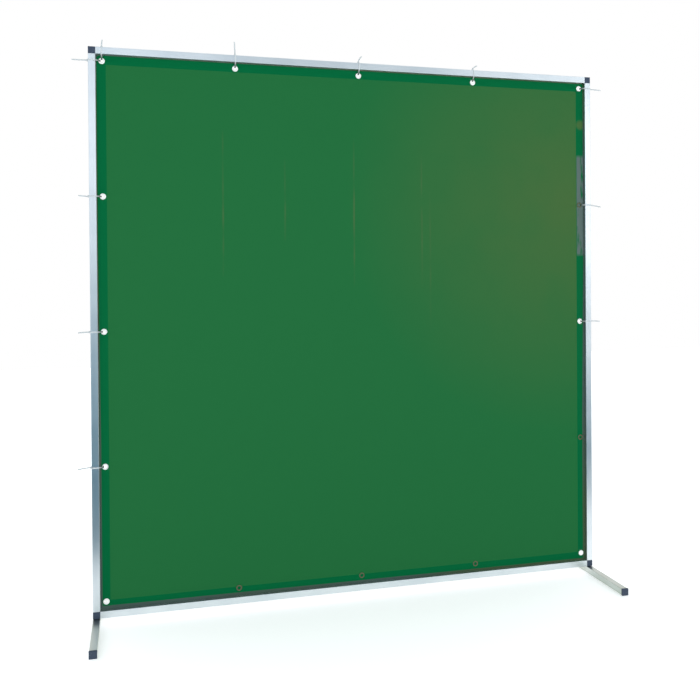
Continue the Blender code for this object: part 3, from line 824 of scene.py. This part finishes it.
# %% Eyelet tree
ROUND_STEPS = 40
eyelet_tree = Tree("eyelets")
flange_radius = eyelet_tree.input("Flange Radius", "Float", EYELET_MIDDLE)
round_steps = eyelet_tree.input("Steps", "Int", ROUND_STEPS)
outline_input = eyelet_tree.input("Outline", "Object")
eyelet_metal = eyelet_tree.input("Metal", "Material")
ring = eyelet_tree.node("GeometryNodeCurvePrimitiveCircle", Resolution=round_steps,
                        Radius=flange_radius)
section = eyelet_tree.node("GeometryNodeObjectInfo", Object=outline_input)
swept = eyelet_tree.node("GeometryNodeCurveToMesh", Curve=ring.outputs["Curve"],
                         Profile_Curve=section.outputs["Geometry"])
spots = eyelet_tree.node("GeometryNodeMeshToPoints", Mesh=eyelet_tree.source.outputs[0])
copies = eyelet_tree.node("GeometryNodeInstanceOnPoints", Points=spots.outputs[0],
                          Instance=swept.outputs[0])
copies.inputs["Rotation"].default_value = (math.radians(90), 0, 0)
eyelet_tree.end(copies.outputs[0], eyelet_metal)
print("eyelet tree inputs:", ", ".join(eyelet_tree.identifiers))

# %% [markdown]
# Most of the eyelets are bright nickel. Five, three along the bottom and two on the right,
# are dull green and brown. Each kind is one piece.

# %% Nickel and its dull kind
nickel = Finish("bright_nickel", (0.93, 0.93, 0.91), 0.3, 0.6)
nickel.link(nickel.between(nickel.noise(900), 0.25, 0.42), nickel.shader.inputs["Roughness"])
DULL_GREEN = (0.085, 0.11, 0.06)
DULL_BROWN = (0.12, 0.10, 0.05)
dull = Finish("dull_nickel", DULL_GREEN, 0.5, 0.5)
patches = dull.between(dull.noise(350, detail=4.0), 0, 1, 0.4, 0.65)
dull.link(dull.mixed(patches, DULL_GREEN, DULL_BROWN), dull.shader.inputs["Base Color"])
DULL_EYELETS = ("eyelet_bottom_1", "eyelet_bottom_2", "eyelet_bottom_3", "eyelet_right_2",
                "eyelet_right_4")


def settle(mesh):
    """Smooth shading with sharp creases, and normals that point out."""
    bm = bmesh.new()
    bm.from_mesh(mesh)
    bmesh.ops.remove_doubles(bm, verts=bm.verts, dist=0.001 * MM)
    bmesh.ops.recalc_face_normals(bm, faces=bm.faces)
    bm.to_mesh(mesh)
    bm.free()
    mesh.shade_smooth()
    mesh.set_sharp_from_angle(angle=math.radians(45))
    return mesh


def eyelets_at(name, chosen, metal):
    spots_mesh = bpy.data.meshes.new(name + "_places")
    spots_mesh.from_pydata([eyelet_places[n] for n in chosen], [], [])
    mesh = eyelet_tree.bake(bpy.data.objects.new(name + "_places", spots_mesh),
                            Flange_Radius=EYELET_MIDDLE, Steps=ROUND_STEPS, Outline=outline,
                            Metal=metal.material)
    return show(name, settle(mesh), "frame", chosen)


scene.collection.objects.link(outline)
bright_names = [n for n in eyelet_places if n not in DULL_EYELETS]
bright_eyelets = eyelets_at("bright_eyelets", bright_names, nickel)
dull_eyelets = eyelets_at("dull_eyelets", DULL_EYELETS, dull)
print("eyelet faces:", len(bright_eyelets.data.polygons) + len(dull_eyelets.data.polygons))

# %% [markdown]
# ## Nylon ties
#
# Eleven cable ties hold the top and both sides. Each runs through an eyelet, round the tube
# and back into its own head, and its tail is left sticking out. The strap is a flat band
# with small cross teeth. In a tie's own axes u points outwards from the eyelet, v lies
# along the tube and w points backwards. Its path is a tight belt round the tube's four
# corners and the eyelet's rim.

# %% Tie path
STRAP_WIDTH = 4.8 * MM
STRAP_THICKNESS = 1.2 * MM
TUBE_CORNER = 1.0 * MM
TIE_GAP = 0.3 * MM
HEAD_HEIGHT = 5.0 * MM
HEAD_WIDTH = 7.6 * MM
HEAD_LENGTH = 7.0 * MM
TAIL_BEND = 2.0 * MM
TAIL_BEND_STEPS = 6
TAIL_STEPS = 14
TAIL_CURL = 1.2 * MM
# The tail narrows by this share over its last fifth.
TAPER_START = 0.8
TAPER = 0.3
RIM_TURN = 4.8 * MM
ARC_STEP = math.radians(12)

# Each tie: its eyelet, its side, how far its tail's tip stands off the tube, and its lean
# along the tube, both in millimetres.
TIES = (
    ("tie_left_1", "eyelet_left_1", "left", 57, 0),
    ("tie_left_2", "eyelet_left_2", "left", 38, 2),
    ("tie_left_3", "eyelet_left_3", "left", 43, -2),
    ("tie_left_4", "eyelet_left_4", "left", 50, -5),
    ("tie_top_1", "eyelet_left_1", "top", 30, 2),
    ("tie_top_2", "eyelet_top_2", "top", 53, -2),
    ("tie_top_3", "eyelet_top_3", "top", 30, 14),
    ("tie_top_4", "eyelet_top_4", "top", 22, 20),
    ("tie_right_1", "eyelet_right_1", "right", 57, 2),
    ("tie_right_2", "eyelet_right_2", "right", 55, 7),
    ("tie_right_3", "eyelet_right_3", "right", 48, 2),
)
OUTWARDS = {"left": Vector((-1, 0, 0)), "right": Vector((1, 0, 0)), "top": Vector((0, 0, 1))}


def belt(circles):
    """Centreline of a tight band, clockwise round (centre, radius) circles."""
    runs = []
    for i, (end, end_radius) in enumerate(circles):
        start, start_radius = circles[i - 1]
        along = (end - start).normalized()
        tilt = (start_radius - end_radius) / (end - start).length
        runs.append(along * tilt + Vector((-along.y, along.x)) * math.sqrt(1 - tilt * tilt))
    line = []
    for i, (centre, radius) in enumerate(circles):
        first = math.atan2(runs[i].y, runs[i].x)
        after = runs[(i + 1) % len(runs)]
        turn = (first - math.atan2(after.y, after.x)) % (2 * math.pi)
        steps = max(1, math.ceil(turn / ARC_STEP))
        for k in range(steps + 1):
            a = first - turn * k / steps
            line.append(centre + Vector((math.cos(a), math.sin(a))) * radius)
    return line


def tie_path(reach, stand_off, lean):
    """Points (u, w, v, width share) of the strap from inside its head to the tail's tip."""
    lift = TIE_GAP + STRAP_THICKNESS / 2
    bend = TUBE_CORNER + lift
    near, far = reach + TUBE_CORNER, reach + tube_side - TUBE_CORNER
    half = tube_side / 2 - TUBE_CORNER
    strap_u = math.sqrt(EYELET_BORE ** 2 - (STRAP_WIDTH / 2) ** 2) - lift - TIE_GAP
    corners = [((far, -half), bend), ((near, -half), bend), ((strap_u + RIM_TURN, 0), RIM_TURN),
               ((near, half), bend), ((far, half), bend)]
    loop = belt([(Vector(c), r) for c, r in corners])
    seat = Vector((far + bend, 0))
    points = [(seat.x, seat.y - HEAD_LENGTH * 0.2, 0, 1)]
    points += [(p.x, p.y, 0, 1) for p in loop]
    for k in range(TAIL_BEND_STEPS + 1):
        a = math.radians(90) * k / TAIL_BEND_STEPS
        points.append((seat.x + TAIL_BEND * (1 - math.cos(a)),
                       seat.y + TAIL_BEND * (1 - math.sin(a)), 0, 1))
    start = seat.x + HEAD_HEIGHT
    tip = reach + tube_side + stand_off - STRAP_THICKNESS / 2
    for k in range(TAIL_STEPS + 1):
        share = k / TAIL_STEPS
        width = 1.0 - TAPER * max(0.0, share - TAPER_START) / (1 - TAPER_START)
        curl = TAIL_CURL * math.sin(math.pi * share)
        points.append((start + (tip - start) * share, seat.y + curl, lean * share ** 1.5, width))
    return points, seat


print("ties:", len(TIES))

# %% [markdown]
# The head is a rounded block with a window in its outer face, where the pawl sits. It is
# made once, bevelled, and used by every tie.

# %% Tie head
WINDOW_WIDTH = 3.6 * MM
WINDOW_DEPTH = 1.3 * MM
HEAD_ROUND = 0.8 * MM


def tie_head():
    bm = bmesh.new()
    bmesh.ops.create_cube(bm, size=1.0)
    bmesh.ops.scale(bm, vec=(HEAD_HEIGHT, HEAD_LENGTH, HEAD_WIDTH), verts=bm.verts)
    bmesh.ops.bevel(bm, geom=list(bm.edges), offset=HEAD_ROUND, segments=3, affect="EDGES",
                    profile=0.5)
    outer = max(bm.faces, key=lambda f: (round(f.normal.x, 3), f.calc_area()))
    rim = (HEAD_WIDTH - 2 * HEAD_ROUND - WINDOW_WIDTH) / 2
    bmesh.ops.inset_individual(bm, faces=[outer], thickness=rim, use_even_offset=True)
    sunk = bmesh.ops.extrude_discrete_faces(bm, faces=[outer])["faces"]
    bmesh.ops.translate(bm, vec=(-WINDOW_DEPTH, 0, 0), verts=sunk[0].verts)
    mesh = bpy.data.meshes.new("tie_head")
    bm.to_mesh(mesh)
    bm.free()
    return bpy.data.objects.new("tie_head", mesh)


head = tie_head()
scene.collection.objects.link(head)
print("head faces:", len(head.data.polygons))

# %% [markdown]
# The tree sweeps a flat rectangle with eased corners along the path, sets a row of cross
# teeth along the inner face, and adds the head at its seat. The curve's radius narrows the
# tail. Every size but the corner easing is a named input.

# %% Tie tree
TOOTH_PITCH = 1.3 * MM
# A tooth's height, its length across the strap and its width along it.
TOOTH_SIZE = (0.3 * MM, 3.4 * MM, 0.55 * MM)
PROFILE_ROUND = 0.3 * MM
tie_tree = Tree("nylon_tie")
width_input = tie_tree.input("Strap Width", "Float", STRAP_WIDTH)
thick_input = tie_tree.input("Strap Thickness", "Float", STRAP_THICKNESS)
pitch_input = tie_tree.input("Tooth Pitch", "Float", TOOTH_PITCH)
tooth_input = tie_tree.input("Tooth Size", "Vector")
lift_input = tie_tree.input("Tooth Lift", "Vector")
head_input = tie_tree.input("Head", "Object")
seat_input = tie_tree.input("Head Place", "Vector")
nylon_input = tie_tree.input("Nylon", "Material")

path = tie_tree.source.outputs[0]
band = tie_tree.node("GeometryNodeCurvePrimitiveQuadrilateral", Width=thick_input,
                     Height=width_input)
eased = tie_tree.node("GeometryNodeFilletCurve", Curve=band.outputs[0], Radius=PROFILE_ROUND)
radius = tie_tree.node("GeometryNodeInputRadius")
strap = tie_tree.node("GeometryNodeCurveToMesh", Curve=path, Profile_Curve=eased.outputs[0],
                      Scale=radius.outputs[0], Fill_Caps=True)
along = tie_tree.node("GeometryNodeCurveToPoints", Curve=path)
along.mode = "LENGTH"
tie_tree.group.links.new(pitch_input, along.inputs["Length"])
tooth = tie_tree.node("GeometryNodeMeshCube", Size=tooth_input)
raised = tie_tree.node("GeometryNodeTransform", Geometry=tooth.outputs[0],
                       Translation=lift_input)
teeth = tie_tree.node("GeometryNodeInstanceOnPoints", Points=along.outputs["Points"],
                      Instance=raised.outputs[0], Rotation=along.outputs["Rotation"])
head_shape = tie_tree.node("GeometryNodeObjectInfo", Object=head_input)
placed_head = tie_tree.node("GeometryNodeTransform", Geometry=head_shape.outputs["Geometry"],
                            Translation=seat_input)
whole = tie_tree.node("GeometryNodeJoinGeometry")
for part in (strap, teeth, placed_head):
    tie_tree.group.links.new(part.outputs[0], whole.inputs[0])
tie_tree.end(whole.outputs[0], nylon_input)
print("tie tree inputs:", ", ".join(tie_tree.identifiers))

# %% [markdown]
# ### Natural nylon
#
# Uncoloured nylon is milky: light enters it and scatters. A little subsurface scattering
# and a soft gloss give that look, with a faint mottling in the gloss. Where the thin strap
# crosses the dark hem into its eyelet, painted shade turns it dark green, and an attribute
# marks that stretch.

# %% Nylon finish, and the ties in place
NYLON_MILKY = (0.50, 0.54, 0.56)
NYLON_PAINTED_SHADE = (0.022, 0.055, 0.030)
HEM_BLEND = 1.5 * MM
nylon = Finish("natural_nylon", NYLON_MILKY, 0.42)
# Painted shade: the strap darkens to dark green where it crosses the hem.
nylon.link(nylon.mixed(nylon.attribute("over_hem"), NYLON_MILKY, NYLON_PAINTED_SHADE),
           nylon.shader.inputs["Base Color"])
nylon.shader.inputs["Subsurface Weight"].default_value = 0.3
nylon.shader.inputs["Subsurface Radius"].default_value = (2 * MM, 2 * MM, 1.8 * MM)
nylon.link(nylon.between(nylon.noise(1200), 0.34, 0.52), nylon.shader.inputs["Roughness"])


def tie_placing(side, place):
    """Carries a tie's own (u, w, v) to the frame."""
    out = OUTWARDS[side]
    back = Vector((0, 1, 0))
    along_tube = back.cross(out)
    turn = Matrix((out, back, along_tube)).transposed().to_4x4()
    return Matrix.Translation(place) @ turn


def outer_face(side, place):
    """Distance from the eyelet's centre to the inner face of the tube on that side."""
    if side == "top":
        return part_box("top_rail")[0].z - place.z
    if side == "left":
        return place.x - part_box("left_post")[1].x
    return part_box("right_post")[0].x - place.x


ties_bm = bmesh.new()
for name, eyelet, side, stand_off, lean in TIES:
    place = eyelet_places[eyelet]
    reach = outer_face(side, place)
    points, seat = tie_path(reach, stand_off * MM, lean * MM)
    mesh = tie_tree.bake(
        poly_curve(name + "_path", points), Strap_Width=STRAP_WIDTH,
        Strap_Thickness=STRAP_THICKNESS, Tooth_Pitch=TOOTH_PITCH,
        Tooth_Size=TOOTH_SIZE, Tooth_Lift=(STRAP_THICKNESS / 2, 0, 0),
        Head=head, Head_Place=(seat.x - STRAP_THICKNESS / 2 + HEAD_HEIGHT / 2, seat.y, 0),
        Nylon=nylon.material)
    over_hem = mesh.attributes.new("over_hem", "FLOAT", "POINT")
    for vertex, mark in zip(mesh.vertices, over_hem.data):
        mark.value = min(1.0, max(0.0, (reach - vertex.co.x) / HEM_BLEND))
    mesh.transform(tie_placing(side, place))
    ties_bm.from_mesh(mesh)
ties_mesh = bpy.data.meshes.new("nylon_ties")
ties_bm.to_mesh(ties_mesh)
ties_bm.free()
ties_mesh.materials.append(nylon.material)
show("nylon_ties", settle(ties_mesh), "frame", [t[0] for t in TIES])
for helper in (outline, head):
    bpy.data.objects.remove(helper)
print("tie faces:", len(ties_mesh.polygons))
